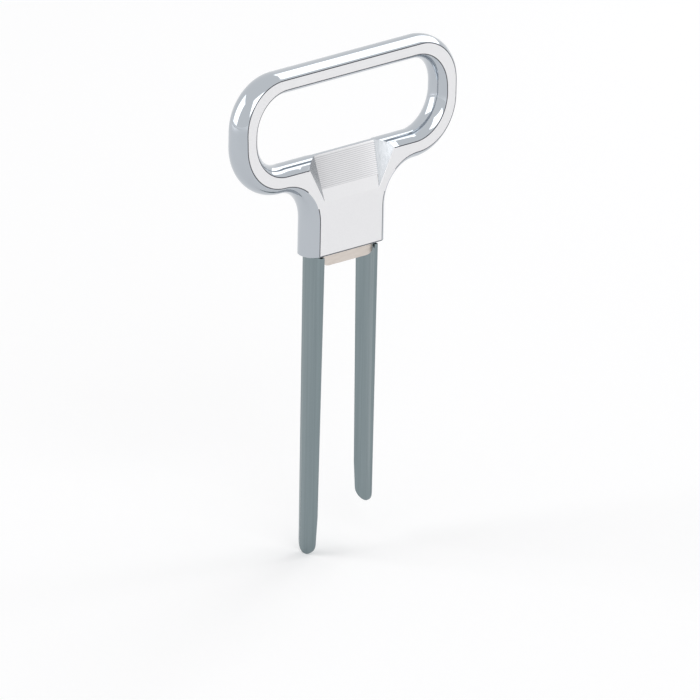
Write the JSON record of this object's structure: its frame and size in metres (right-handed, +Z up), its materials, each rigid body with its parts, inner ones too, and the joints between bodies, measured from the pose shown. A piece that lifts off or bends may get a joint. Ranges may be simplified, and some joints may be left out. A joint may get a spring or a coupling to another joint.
{
  "type": "two-prong cork puller",
  "caption": "Cork puller with a rounded metal loop handle, a ribbed thumb recess on each face and two long curved prongs, one longer than the other, that slide down beside the cork.",
  "frame": {"origin": "middle of the stem's underside, where the two prongs leave the handle", "axes": "+Z up towards the loop, +X along the loop towards the shorter prong, flat faces looking along -Y and +Y"},
  "size_m": [0.068, 0.0072, 0.1189],
  "materials": {
    "handle_metal": "satin flat faces, bright rounded sides",
    "plug_metal": "bright",
    "pin_steel": "ground flush",
    "prong_steel": "polished spring steel"
  },
  "bodies": {
    "handle": {"handle": "handle_metal", "plug": "plug_metal", "tang_pins": "pin_steel"},
    "prong_long": {"prong_long": "prong_steel"},
    "prong_short": {"prong_short": "prong_steel"}
  },
  "joints": [
    {"name": "prong_long_flex", "type": "hinge", "parent": "handle", "child": "prong_long", "pos_m": [-0.00755, 0, 0.005], "axis": [0, 1, 0], "range_deg": [-1.5, 4], "stiffness_Nm_per_rad": 4.8},
    {"name": "prong_short_flex", "type": "hinge", "parent": "handle", "child": "prong_short", "pos_m": [0.00755, 0, 0.005], "axis": [0, -1, 0], "range_deg": [-1.5, 4], "stiffness_Nm_per_rad": 4.8}
  ]
}
